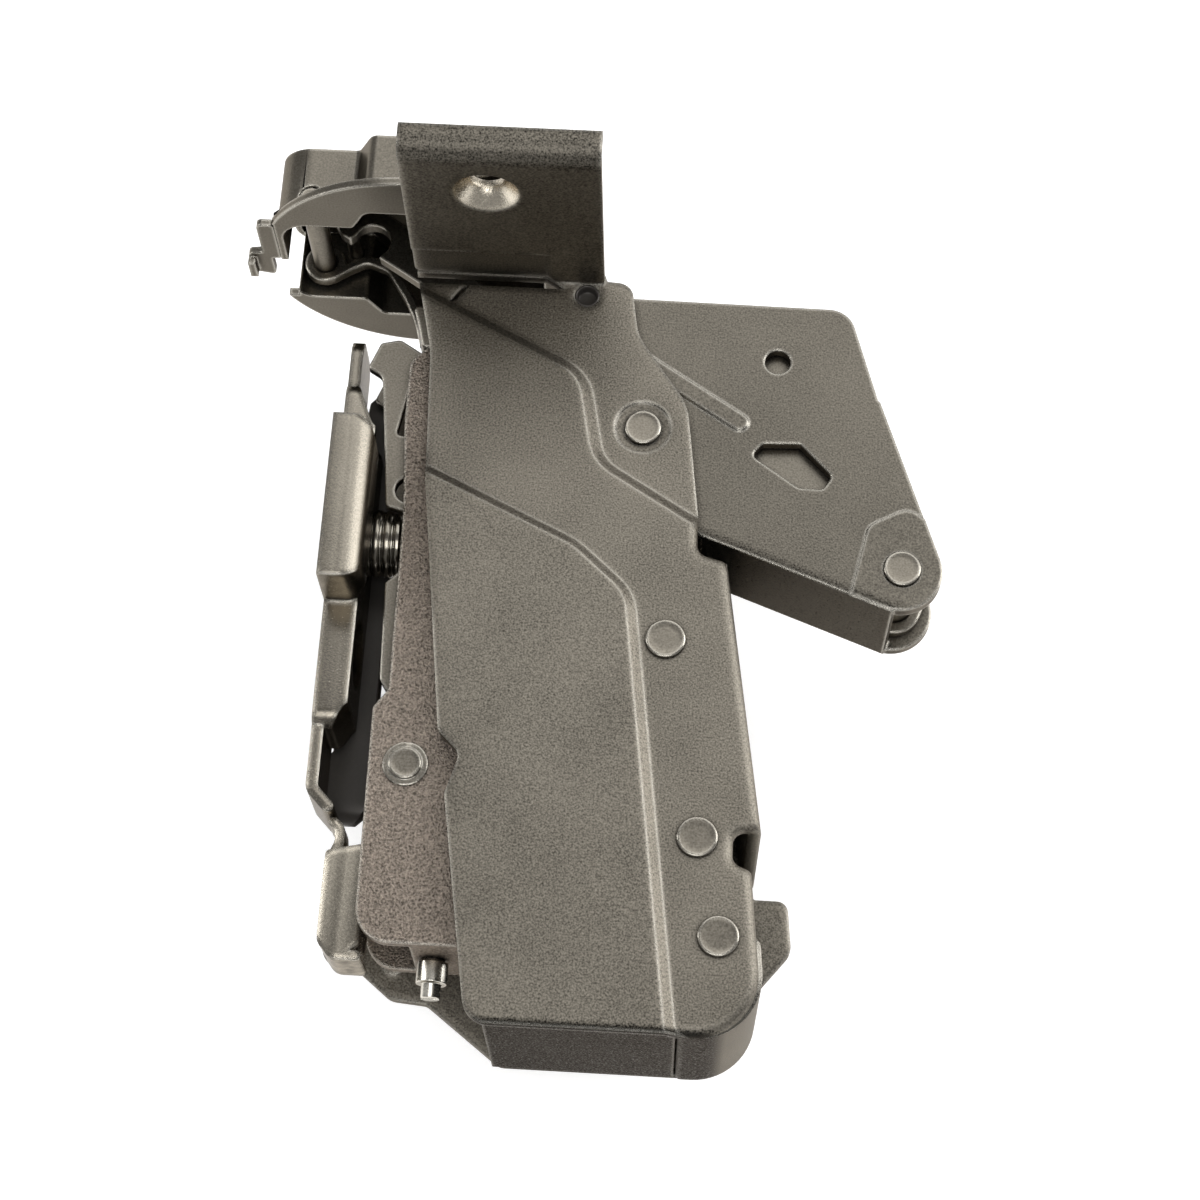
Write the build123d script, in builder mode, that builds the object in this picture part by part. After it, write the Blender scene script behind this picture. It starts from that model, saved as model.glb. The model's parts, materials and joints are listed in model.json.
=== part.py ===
from build123d import *
import math
import os

os.makedirs("parts", exist_ok=True)

# Concealed cup hinge, closed, in millimetres.
# x = 0 is the cabinet wall, +x runs into the cabinet opening.
# +y points at the door, z = 0 is the middle plane of the linkage.
# The origin is the centre of the mounting plate's two screw holes.

# ---- driving dimensions ----------------------------------------------------

# pivots of the linkage, door closed (x, y)
main_pivot = (38.4, 14.0)       # outer link on the housing
elbow_pivot = (71.6, -3.1)      # swing lever on the outer link
cup_pivot = (-6.6, 43.6)        # cup on the swing lever
guide_pivot = (25.0, 17.7)      # guide link on the housing
cross_pivot = (48.9, 4.2)       # guide link meets the swing lever
joint_pivot = (52.5, 11.0)      # control link on the guide link
control_pivot = (-2.9, 46.8)    # control link on the cup

frame_rivets = [(42.7, -15.1), (47.7, -40.0), (50.7, -51.9)]
arm_rivet = (12.2, -32.3)

# sheet thicknesses
housing_sheet = 1.5
link_sheet = 1.5
lever_sheet = 1.5
strip_sheet = 1.2
bar_sheet = 1.9
arm_sheet = 1.5
cup_sheet = 1.0
latch_sheet = 1.2
clip_sheet = 1.0

# gaps between sliding layers
layer_gap = 0.2
cover_gap = 0.45                # outer link to the housing plate, clears the raised bead
lever_gap = 0.3
running_gap = 0.05              # radial play of a running rivet
open_gap = 0.35                 # radial play of the two slack pivots

# outer link
link_depth = 15.0               # depth of the channel, over both cheeks

# rivets and pins
main_rivet_r = 2.25
elbow_rivet_r = 2.25
frame_rivet_r = 2.4
frame_shank_r = 1.9
arm_rivet_r = 1.95
guide_pin_r = 1.6
guide_collar_r = 2.7
cross_pin_r = 1.4
joint_pin_r = 1.5
cup_pin_r = 1.5
control_pin_r = 1.0
head_proud = 0.35               # height of a rivet head above its sheet

# housing
step_low = 1.2                  # rise from the low to the middle face
step_high = 1.0                 # rise from the middle to the high face
step_slope = 52.0               # degrees of each pressed step from upright
housing_depth = 17.5            # outer face of the back plate below z = 0
tab_height = 38.0               # top of the upright tab
tab_left = 7.7
tab_right = 32.3
tab_front = 34.2                # y of the tab's front face
tab_lip = 2.4                   # length of the lip folded back at its top
tab_bend = 2.4                  # radius of that fold
tab_step = 14.3                 # height where the tab steps back to its foot
tab_screw = (18.1, 28.9)        # countersunk hole in the tab (x, z)
tab_screw_r = 2.2
tab_sink_r = 4.25
dimple_depth = 2.6              # countersunk dimple, front of the tab to its back

# cup
cup_centre_x = 7.2
cup_face = 39.6                 # y of the flange's front face
cup_depth = 11.2                # flange face to cup floor
cup_width_left = 21.0           # narrow end of the pot, over the walls
cup_width_right = 29.0          # wide end of the pot
cup_left = -11.3
cup_right = 24.7
flange_r = 20.95
flange_sheet = 1.2
cup_screw_x = 16.7
cup_screw_spacing = 52.0
cup_screw_r = 2.3
cup_ear_r = 6.0

# mounting plate
plate_screw_spacing = 32.0
plate_screw_r = 2.65
plate_sink_r = 4.6
plate_sheet = 1.5
rail_height = 4.2
rail_width = 11.0
rail_front = 19.5
rail_rear = -27.2
tongue_end = -37.2              # rear tongue, curled up at its end
wing_height = 5.2
wing_width = 21.8
wing_span = 28.0
wing_round = 2.6

# arm and adjusters
arm_web_x = 22.2                # outer face of the arm's web
carrier_width = 11.0
carrier_sheet = 1.4
carrier_end = -49.6
arm_end = -54.4
side_screw_y = -0.7
side_screw_r = 4.3
depth_screw_x = 16.9
depth_screw_r = 1.4
latch_pivot = (14.4, -45.5)
latch_pin_r = 1.25

# damper
damper_r = 4.2
damper_rod_r = 1.5
slider_r = 1.9                  # domed head that follows the cam
damper_lift = 5.0               # rod travel over the full swing
cam_reach = 11.0                # cam radius under the rod, door closed
cam_gap = 0.5
swing_angle = 68.8              # full swing of the outer link, degrees

# ---- layers, worked out outward from the middle plane ------------------------

z_bar_in = layer_gap / 2
z_bar_out = z_bar_in + bar_sheet
z_lever_in = z_bar_out + lever_gap
z_lever_out = z_lever_in + lever_sheet
z_link_in = z_lever_out + layer_gap
z_link_out = z_link_in + link_sheet
z_low = z_link_out + cover_gap          # underside of the housing's low face
z_mid = z_low + step_low
z_high = z_mid + step_high
z_top = z_high + housing_sheet
z_back = -housing_depth
z_floor = z_back + housing_sheet        # inner face of the back plate
z_web_end = z_link_out - link_depth     # outer face of the outer link's far cheek
z_cheek_in = z_web_end + link_sheet
z_lever_end = z_cheek_in + layer_gap    # outer face of the lever's far cheek
tongue_low = -8.6                       # lever tongue that enters the cup
tongue_high = -7.0


STAND = (Align.CENTER, Align.CENTER, Align.MIN)


def near(point, dx, dy):
    """A point placed from a pivot."""
    return (point[0] + dx, point[1] + dy)


def outline(corners, height=0.0):
    """A face at a height, closed through (x, y, radius) corners."""
    points = [(x, y) for x, y, radius in corners]
    with BuildSketch(Plane.XY.offset(height)) as face:
        with BuildLine():
            FilletPolyline(*points, radius=[radius for x, y, radius in corners], close=True)
        make_face()
    return face.sketch


def blank(corners, low, high, mode=Mode.ADD):
    """A flat blank between two heights, cut to a rounded outline."""
    extrude(outline(corners, low), amount=high - low, mode=mode)


def pin(centre, radius, low, high, mode=Mode.ADD):
    """A round pin or hole along z."""
    with Locations((centre[0], centre[1], low)):
        Cylinder(radius, high - low, align=STAND, mode=mode)


def strip(points, radii, thickness, low, high):
    """Sheet standing on edge along a bent line."""
    with BuildSketch(Plane.XY.offset(low)) as edge:
        with BuildLine():
            FilletPolyline(*points, radius=radii) if len(points) > 2 else Polyline(*points)
            offset(amount=thickness / 2, side=Side.BOTH)
        make_face()
    extrude(edge.sketch, amount=high - low)


# ---- housing plate: one sheet, pressed in steps, with walls and an upright tab ----

wall_top = (49.8, -4.2)         # outer face of the side wall, top and bottom
wall_end = (55.3, -38.8)
housing_foot = -63.8
corner_r = 7.5
foot_corner = (56.5, housing_foot)
seam_x = 46.3                   # the drawn corner's wall starts here
housing_edge = [
    (tab_left, tab_front + housing_sheet, 0.8), (10.7, 23.0, 14), (11.6, 5.0, 30),
    (16.0, -28.6, 1.2), (18.9, -31.4, 1.8), (17.4, -36.4, 2.0), (21.9, housing_foot, 3.2),
    (*foot_corner, corner_r), (54.3, -43.6, 0.8), (52.0, -42.6, 1.4), (52.0, wall_end[1], 1.4),
    (*wall_end, 0.3), (*wall_top, 1.0), (46.1, -3.2, 1.6),
    (45.9, 2.4, 0.8), (43.9, 17.4, 8), (37.1, 27.0, 7), (35.9, 34.4, 2.2),
    (tab_right + 0.4, 34.6, 0.2), (tab_right, tab_front + housing_sheet, 0.2),
]
step_line = [
    (-20, -90, 0), (80, -90, 0), (80, -18.9, 0), (33.7, 9.2, 5), (31.2, 21.4, 7), (-20, 47.3, 0),
]
ridge_line = [
    (-20, -90, 0), (46.6, -90, 0), (46.6, -66, 0), (38.6, -9.0, 7), (31.2, -2.5, 9), (-20, 21.8, 0),
]


def raised_face(corners, low, height):
    """A pressed area whose border slopes up from low to low + height."""
    extrude(outline(corners, low), amount=height, taper=step_slope)


with BuildPart() as press_form:
    # the stepped form that both faces of the sheet follow
    blank([(-20, -90, 0), (80, -90, 0), (80, 60, 0), (-20, 60, 0)], -housing_sheet - 0.5, 0)
    raised_face(step_line, 0, step_low)
    raised_face(ridge_line, step_low, step_high)

with BuildPart() as housing_plate:
    blank(housing_edge, z_low, z_top)
    with Locations((0, 0, z_low + housing_sheet)):
        add(press_form.part, mode=Mode.INTERSECT)
    with Locations((0, 0, z_low)):
        add(press_form.part, mode=Mode.SUBTRACT)

    # side wall, bent down from the middle face
    wall_in = housing_sheet * 1.02
    side_wall = [
        (*wall_end, 0), (*wall_top, 0), (wall_top[0] - wall_in, wall_top[1], 0),
        (wall_end[0] - wall_in, wall_end[1], 0),
    ]
    blank(side_wall, z_floor, z_mid + 0.2)

    # drawn corner wall round the foot
    corner_wall = [
        (seam_x + 1.3, housing_foot), foot_corner, (55.4, -53.2),
    ]
    strip([near(point, -0.4, 0.75) for point in corner_wall], [corner_r - 0.6], housing_sheet,
          z_floor, z_mid + 0.2)

    # upright tab with its foot bend and folded lip
    with BuildSketch(Plane.XZ.offset(-tab_front)):
        with Locations(((tab_left + tab_right) / 2, (z_low + 1.9 + tab_height) / 2)):
            RectangleRounded(tab_right - tab_left, tab_height - z_low - 1.9, 0.9)
    extrude(amount=-housing_sheet)
    with Locations(((tab_left + tab_right) / 2, tab_front, tab_height)):
        Box(tab_right - tab_left, housing_sheet + tab_lip, housing_sheet,
            align=(Align.CENTER, Align.MIN, Align.MAX))
    foot_left = tab_right - 6.4
    with Locations(((foot_left + tab_right) / 2, tab_front, z_low)):
        Box(tab_right - foot_left, housing_sheet, 4, align=(Align.CENTER, Align.MIN, Align.MIN))
    tab_top = housing_plate.edges().filter_by(Axis.X).group_by(Axis.Z)[-1].sort_by(Axis.Y)[0]
    fillet(tab_top, tab_bend)
    blank([(tab_left - 1, tab_front - 1, 0), (foot_left + 1.5, tab_front - 1, 0), (foot_left - 1.2, tab_front + 0.6, 0.5),
           (tab_left - 1, tab_front + 0.6, 0)], z_low, tab_step, mode=Mode.SUBTRACT)
    # the screw hole is a pressed dimple, countersunk in front and proud behind
    with Locations(Plane.XZ.offset(-tab_front - 0.6) * Pos(*tab_screw, 0) * Rot(180, 0, 0)):
        Cone(tab_sink_r + 0.9, tab_screw_r + 0.9, dimple_depth, align=STAND)
    with Locations(Plane.XZ.offset(-tab_front) * Pos(*tab_screw, 0)):
        CounterSinkHole(tab_screw_r, tab_sink_r, depth=dimple_depth + 2, counter_sink_angle=90)

    # rivet holes and the ring pressed round the main rivet
    pin(main_pivot, 3.6, z_low + housing_sheet - 0.35, z_top, mode=Mode.SUBTRACT)
    pin(main_pivot, main_rivet_r, z_low, z_top, mode=Mode.SUBTRACT)
    for spot in frame_rivets:
        pin(spot, frame_shank_r, z_low, z_top, mode=Mode.SUBTRACT)
    pin((30.2, 32.4), 1.6, z_low, z_top, mode=Mode.SUBTRACT)
    # lanced strip below the tab: an open slit, a scored line and a sunk end
    slit = [(15.4, 34.0, 0.1), (13.7, 32.6, 1), (12.2, 30.4, 0.1), (13.4, 31.0, 0.3), (14.5, 32.5, 1)]
    blank(slit, z_low, z_top, mode=Mode.SUBTRACT)
    score = [(15.3, 29.5, 0), (15.6, 29.3, 0), (20.3, 34.1, 0), (20.0, 34.3, 0)]
    blank(score, z_top - 0.35, z_top, mode=Mode.SUBTRACT)
    blank([(12.2, 30.6, 0), (15.2, 28.8, 0), (15.9, 29.8, 0), (13.2, 31.2, 0)], z_top - 0.5, z_top, mode=Mode.SUBTRACT)

    # soft bend along the top of the side wall and the drawn corner
    rim = (
        housing_plate.edges()
        .filter_by(lambda edge: abs(edge.center().Z - z_mid - housing_sheet) < 0.01)
        .filter_by(lambda edge: edge.length > 20 and abs(edge.center().X - 52.5) < 2)
    )
    fillet(rim, 1.2)

housing_plate.part.label = "housing_plate"
export_step(housing_plate.part, "parts/housing_plate.step")

# ---- housing back: back plate with the flat end wall -------------------------------

end_wall_left = 23.8
back_edge = [
    (5.4, -51.8, 2.5), (10.4, -55.8, 2.5), (15.0, -56.2, 1.5), (24.6, housing_foot + 0.4, 2),
    (*near(foot_corner, -0.2, 0.4), corner_r),
    (55.8, -52.8, 1), (60.4, -47.0, 2.5), (59.7, -40.4, 1.5), (wall_end[0], -40.4, 0.5), (*wall_top, 2),
    (46.5, 4.0, 4), (44.0, 19.0, 5), (33.0, 25.5, 4), (19.0, 25.5, 5), (9.0, 10.0, 8), (5.6, -20.0, 6),
]
with BuildPart() as housing_back:
    blank(back_edge, z_back, z_floor)
    with BuildSketch(Plane.XZ.offset(-housing_foot - 0.25)):
        with BuildLine():
            Polyline((end_wall_left, z_floor), (seam_x, z_floor), (seam_x, z_mid), (seam_x - 0.3, z_mid),
                     (seam_x - 1.7, z_high), (end_wall_left, z_high), close=True)
        make_face()
    extrude(amount=-housing_sheet)
    pin(main_pivot, main_rivet_r, z_back, z_floor, mode=Mode.SUBTRACT)
    pin(guide_pivot, guide_pin_r, z_back, z_floor, mode=Mode.SUBTRACT)
    for spot in frame_rivets:
        pin(spot, frame_shank_r, z_back, z_floor, mode=Mode.SUBTRACT)
    with Locations((10.4, -51.4, z_floor)):
        Cylinder(1.2, 0.3, align=STAND)
housing_back.part.label = "housing_back"
export_step(housing_back.part, "parts/housing_back.step")

# ---- spacer rivets that hold the two halves of the housing --------------------------

for number, spot in enumerate(frame_rivets, 1):
    with BuildPart() as frame_rivet:
        pin(spot, frame_shank_r, z_back, z_mid + housing_sheet)
        pin(spot, frame_rivet_r, z_floor, z_mid)
        pin(spot, frame_rivet_r, z_mid + housing_sheet, z_mid + housing_sheet + head_proud)
        head = frame_rivet.faces().sort_by(Axis.Z)[-1]
        chamfer(head.edges(), head_proud / 2)
    frame_rivet.part.label = f"frame_rivet_{number}"
    export_step(frame_rivet.part, f"parts/frame_rivet_{number}.step")

# ---- main pivot: a short rivet on the near side and a stud on the back plate ----------

rivet_head = 0.4
with BuildPart() as pivot_rivet:
    pin(main_pivot, main_rivet_r, z_link_in + 0.05, z_low + housing_sheet)
    pin(main_pivot, main_rivet_r + 0.7, z_link_in + 0.05, z_link_in + rivet_head)
    chamfer(pivot_rivet.faces().sort_by(Axis.Z)[-1].edges(), 0.15)
pivot_rivet.part.label = "pivot_rivet"
export_step(pivot_rivet.part, "parts/pivot_rivet.step")

with BuildPart() as pivot_stud:
    pin(main_pivot, main_rivet_r, z_back, z_cheek_in)
    chamfer(pivot_stud.faces().sort_by(Axis.Z)[-1].edges(), 0.3)
pivot_stud.part.label = "pivot_stud"
export_step(pivot_stud.part, "parts/pivot_stud.step")

with BuildPart() as guide_stud:
    pin(guide_pivot, guide_pin_r, z_back, z_bar_out)
    pin(guide_pivot, guide_collar_r, z_floor, z_bar_in - 0.1)
    chamfer(guide_stud.faces().sort_by(Axis.Z)[-1].edges(), 0.2)
guide_stud.part.label = "guide_stud"
export_step(guide_stud.part, "parts/guide_stud.step")

# ---- outer link: a channel of two wide cheeks and a web --------------------------------

web_start = (46.3, 0.3)
web_end = (70.6, -8.7)
ear_corner = near(elbow_pivot, 8.6, -9.15)
ear_r = 5.3
cheek_top = 33.4
cheek_right = (64.2, 33.1)
far_left = 41.4
near_cheek = [
    (35.4, cheek_top, 1.0), (32.4, 20.0, 5), (32.4, 8.6, 6), (*web_start, 2.0), (*ear_corner, ear_r),
    (68.5, 20.0, 0), (68.2, 20.3, 0), (*cheek_right, 3.5),
]
far_cheek = [
    (far_left, cheek_top, 1.0), (far_left, 21.6, 2.5), (33.6, 20.4, 5), (32.6, 9.0, 6), (*web_start, 2.0),
    (*ear_corner, ear_r), (68.5, 20.0, 0), (68.2, 20.3, 0), (*cheek_right, 3.5),
]
web_slope = math.atan2(web_end[1] - web_start[1], web_end[0] - web_start[0])
web_normal = (-math.sin(web_slope) * link_sheet, math.cos(web_slope) * link_sheet)
window = [
    (52.3, 11.7, 0.7), (53.7, 13.4, 0.5), (58.4, 13.6, 0.4), (62.6, 9.3, 0.7), (61.5, 7.4, 0.7), (58.4, 7.5, 1),
]
elbow_pad = [
    near(elbow_pivot, -6.9, -6.2), near(elbow_pivot, -4.3, 5.8), near(elbow_pivot, 0.6, 8.4),
    near(elbow_pivot, 6.4, 4.6), near(elbow_pivot, 9.5, -6.0), near(elbow_pivot, 2.0, -9.0),
]
with BuildPart() as pad_form:
    # low pad pressed up round the elbow rivet, kept inside the ear
    blank([(x, y, 2.2) for x, y in elbow_pad], z_link_out, z_link_out + head_proud)
    blank(near_cheek, z_link_out - 1, z_link_out + 1, mode=Mode.INTERSECT)

with BuildPart() as outer_link:
    blank(near_cheek, z_link_in, z_link_out)
    blank(far_cheek, z_web_end, z_cheek_in)
    web = [
        (*web_start, 0), (*web_end, 0), (*near(web_end, *web_normal), 0), (*near(web_start, *web_normal), 0),
    ]
    blank(web, z_web_end, z_link_out)
    add(pad_form.part)
    # raised bead and the pierced holes
    strip([(36.5, 25.2), (50.6, 16.2)], 0, 2.3, z_link_out, z_link_out + head_proud)
    blank(window, z_link_in, z_link_out, mode=Mode.SUBTRACT)
    pin((55.2, 25.1), 1.65, z_link_in, z_link_out, mode=Mode.SUBTRACT)
    pin(main_pivot, main_rivet_r + running_gap, z_web_end, z_link_out, mode=Mode.SUBTRACT)
    pin(main_pivot, main_rivet_r + 0.75, z_link_in, z_link_in + rivet_head + 0.1, mode=Mode.SUBTRACT)
    pin(elbow_pivot, elbow_rivet_r, z_web_end, z_link_out + 1, mode=Mode.SUBTRACT)
outer_link.part.label = "outer_link"
export_step(outer_link.part, "parts/outer_link.step")

with BuildPart() as elbow_rivet:
    pin(elbow_pivot, elbow_rivet_r, z_web_end, z_link_out + 2 * head_proud)
    for face in (elbow_rivet.faces().sort_by(Axis.Z)[-1], elbow_rivet.faces().sort_by(Axis.Z)[0]):
        chamfer(face.edges(), 0.2)
elbow_rivet.part.label = "elbow_rivet"
export_step(elbow_rivet.part, "parts/elbow_rivet.step")

# ---- swing lever: a strip rolled round the cup pin that divides into two cheeks --------

eye_mid = cup_pin_r + running_gap + strip_sheet / 2
lever_path = [
    near(cup_pivot, 1.2, -1.85), near(cup_pivot, 3.2, -0.5), near(cup_pivot, 5.7, 0.9),
    near(cup_pivot, 9.0, -0.4), near(cup_pivot, 11.8, -4.6), (6.7, 36.0), (8.2, 31.2), (8.9, 29.0), (9.5, 26.4),
]
lever_cheek = [
    (7.9, 31.7, 0.8), (9.3, 26.0, 0.8), (24.0, 22.4, 3), (40.0, 11.0, 6), (*near(cross_pivot, -3.0, -1.8), 2.6),
    (*near(elbow_pivot, 2.1, -4.75), 3.5), (*near(elbow_pivot, 4.4, 1.6), 3.4), (60.5, 28.5, 3), (30.0, 33.6, 20),
]
with BuildPart() as swing_lever:
    pin(cup_pivot, cup_pin_r + running_gap + strip_sheet, tongue_low, tongue_high)
    strip(lever_path[:7], [2.5, 2.5, 2.5, 8, 8], strip_sheet, tongue_low, tongue_high)
    strip(lever_path[6:8], 0, strip_sheet, tongue_low, z_lever_out)
    strip(lever_path[7:], 0, strip_sheet, -z_lever_out, z_lever_out)
    blank(lever_cheek, z_lever_in, z_lever_out)
    blank(lever_cheek, z_lever_end, z_lever_end + lever_sheet)
    pin(cup_pivot, cup_pin_r + running_gap, tongue_low, tongue_high, mode=Mode.SUBTRACT)
    pin(cross_pivot, cross_pin_r, z_lever_end, z_lever_out, mode=Mode.SUBTRACT)
    pin(elbow_pivot, elbow_rivet_r + running_gap, z_lever_end, z_lever_out, mode=Mode.SUBTRACT)
swing_lever.part.label = "swing_lever"
export_step(swing_lever.part, "parts/swing_lever.step")

with BuildPart() as cross_pin:
    pin(cross_pivot, cross_pin_r, z_lever_end, z_lever_out)
cross_pin.part.label = "cross_pin"
export_step(cross_pin.part, "parts/cross_pin.step")

# ---- guide link and control link -------------------------------------------------------

guide_edge = [
    (*near(guide_pivot, -3.6, 0.6), 3.2), (*near(guide_pivot, -2.2, -3.9), 3.2),
    (*near(cross_pivot, -0.4, -3.0), 2.6), (*near(cross_pivot, 3.4, -1.0), 2.6),
    (*near(joint_pivot, 3.6, 0.4), 2.6), (*near(joint_pivot, -0.6, 3.8), 2.6), (*near(guide_pivot, 1.6, 3.6), 6),
]
with BuildPart() as guide_link:
    blank(guide_edge, z_bar_in, z_bar_out)
    pin(guide_pivot, guide_pin_r + running_gap, z_bar_in, z_bar_out, mode=Mode.SUBTRACT)
    pin(cross_pivot, cross_pin_r + open_gap, z_bar_in, z_bar_out, mode=Mode.SUBTRACT)
    pin(joint_pivot, joint_pin_r, z_bar_in, z_bar_out, mode=Mode.SUBTRACT)
guide_link.part.label = "guide_link"
export_step(guide_link.part, "parts/guide_link.step")

with BuildPart() as joint_pin:
    pin(joint_pivot, joint_pin_r, -z_bar_out, z_bar_out)
joint_pin.part.label = "joint_pin"
export_step(joint_pin.part, "parts/joint_pin.step")

# the control link lies along the line between its pivots; u runs from the cup end
link_dx = joint_pivot[0] - control_pivot[0]
link_dy = joint_pivot[1] - control_pivot[1]
link_length = math.hypot(link_dx, link_dy)


def along(u, n):
    """A point u along the control link and n to its upper side."""
    ux, uy = link_dx / link_length, link_dy / link_length
    return near(control_pivot, ux * u - uy * n, uy * u + ux * n)


hook_r = 2.45                   # hollow that clears the cup pin, door open
hook_centre = along(4.8, -1.1)
control_edge = [
    (*along(-2.2, -1.0), 1.4), (*along(0.6, -2.6), 1.4), (*along(10, -2.4), 3), (*along(20, -2.4), 8),
    (*along(link_length - 1, -3.0), 2.8), (*along(link_length + 3.6, 0), 2.6), (*along(link_length - 2, 3.1), 2.6),
    (*along(14, 2.4), 8), (*along(7.5, 3.5), 2), (*along(2.0, 3.5), 2), (*along(-1.8, 1.6), 1.6),
]
with BuildPart() as control_link:
    blank(control_edge, -z_bar_out, -z_bar_in)
    pin(hook_centre, hook_r, -z_bar_out, -z_bar_in, mode=Mode.SUBTRACT)
    below_hook = [(*along(2.5, -1.1), 0), (*along(1.2, -6), 0), (*along(7.0, -6), 0), (*along(7.0, -1.1), 0)]
    blank(below_hook, -z_bar_out, -z_bar_in, mode=Mode.SUBTRACT)
    pin(control_pivot, control_pin_r + open_gap, -z_bar_out, -z_bar_in, mode=Mode.SUBTRACT)
    pin(joint_pivot, joint_pin_r + running_gap, -z_bar_out, -z_bar_in, mode=Mode.SUBTRACT)
control_link.part.label = "control_link"
export_step(control_link.part, "parts/control_link.step")

# ---- cup: drawn pot with its flange --------------------------------------------------

cup_floor = cup_face + cup_depth
step_x = 0.2                    # where the pot widens


def pot(grow, front, back, mode=Mode.ADD):
    """The pot's plan, drawn between two y planes; grow moves every wall outward."""
    left, right = cup_left - grow, cup_right + grow
    narrow, wide = cup_width_left / 2 + grow, cup_width_right / 2 + grow
    corners = [
        (left, -narrow, 3.6 + grow), (step_x - 1, -narrow, 0.8), (step_x + 1, -wide, 1.5), (right, -wide, 9 + grow),
        (right, wide, 9 + grow), (step_x + 1, wide, 1.5), (step_x - 1, narrow, 0.8), (left, narrow, 4.6 + grow),
    ]
    with BuildSketch(Plane.XZ.offset(-front)) as plan:
        with BuildLine():
            FilletPolyline(*[(x, z) for x, z, r in corners], radius=[r for x, z, r in corners], close=True)
        make_face()
    extrude(plan.sketch, amount=front - back, mode=mode)


gap_low = -9.4                  # slot in the pot's left wall for the links
gap_high = 0.4
with BuildPart() as hinge_cup:
    with BuildSketch(Plane.XZ.offset(-cup_face)) as flange:
        with Locations((cup_centre_x, 0)):
            Circle(flange_r)
        for side in (1, -1):
            with BuildLine():
                Polyline((cup_screw_x - 12, side * 14), (cup_screw_x - cup_ear_r, side * cup_screw_spacing / 2),
                         (cup_screw_x + cup_ear_r, side * cup_screw_spacing / 2), (cup_screw_x + 9, side * 14), close=True)
            make_face()
            with Locations((cup_screw_x, side * cup_screw_spacing / 2)):
                Circle(cup_ear_r)
    extrude(amount=-flange_sheet)
    pot(0, cup_face, cup_floor)
    pot(-cup_sheet, cup_face, cup_floor - cup_sheet, mode=Mode.SUBTRACT)
    with Locations((cup_left, cup_face, gap_low)):
        Box(2 * cup_sheet + 0.6, cup_depth - 2, gap_high - gap_low,
            align=(Align.CENTER, Align.MIN, Align.MIN), mode=Mode.SUBTRACT)
    with Locations((cup_left, cup_face, 0)):
        Box(12, 3 * flange_sheet, -2 * gap_low, align=(Align.MAX, Align.CENTER, Align.CENTER), mode=Mode.SUBTRACT)
    for side in (1, -1):
        with Locations(Plane.XZ.offset(-cup_face) * Pos(cup_screw_x, side * cup_screw_spacing / 2, 0)):
            Hole(cup_screw_r, depth=2 * flange_sheet)
    pin(cup_pivot, cup_pin_r, -cup_width_left / 2, cup_width_left / 2, mode=Mode.SUBTRACT)
    pin(control_pivot, control_pin_r, -cup_width_left / 2, 0, mode=Mode.SUBTRACT)
hinge_cup.part.label = "hinge_cup"
export_step(hinge_cup.part, "parts/hinge_cup.step")

with BuildPart() as cup_pin:
    # each end lies just below the pot's rounded corners
    pin(cup_pivot, cup_pin_r, 0.25 - cup_width_left / 2, cup_width_left / 2 - 0.25)
    for face in (cup_pin.faces().sort_by(Axis.Z)[-1], cup_pin.faces().sort_by(Axis.Z)[0]):
        chamfer(face.edges(), 0.15)
cup_pin.part.label = "cup_pin"
export_step(cup_pin.part, "parts/cup_pin.step")

with BuildPart() as control_pin:
    pin(control_pivot, control_pin_r, -cup_width_left / 2, 0.5)
    pin(control_pivot, control_pin_r + 0.6, 0.1, 0.5)
control_pin.part.label = "control_pin"
export_step(control_pin.part, "parts/control_pin.step")

# ---- mounting plate ------------------------------------------------------------------

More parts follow.
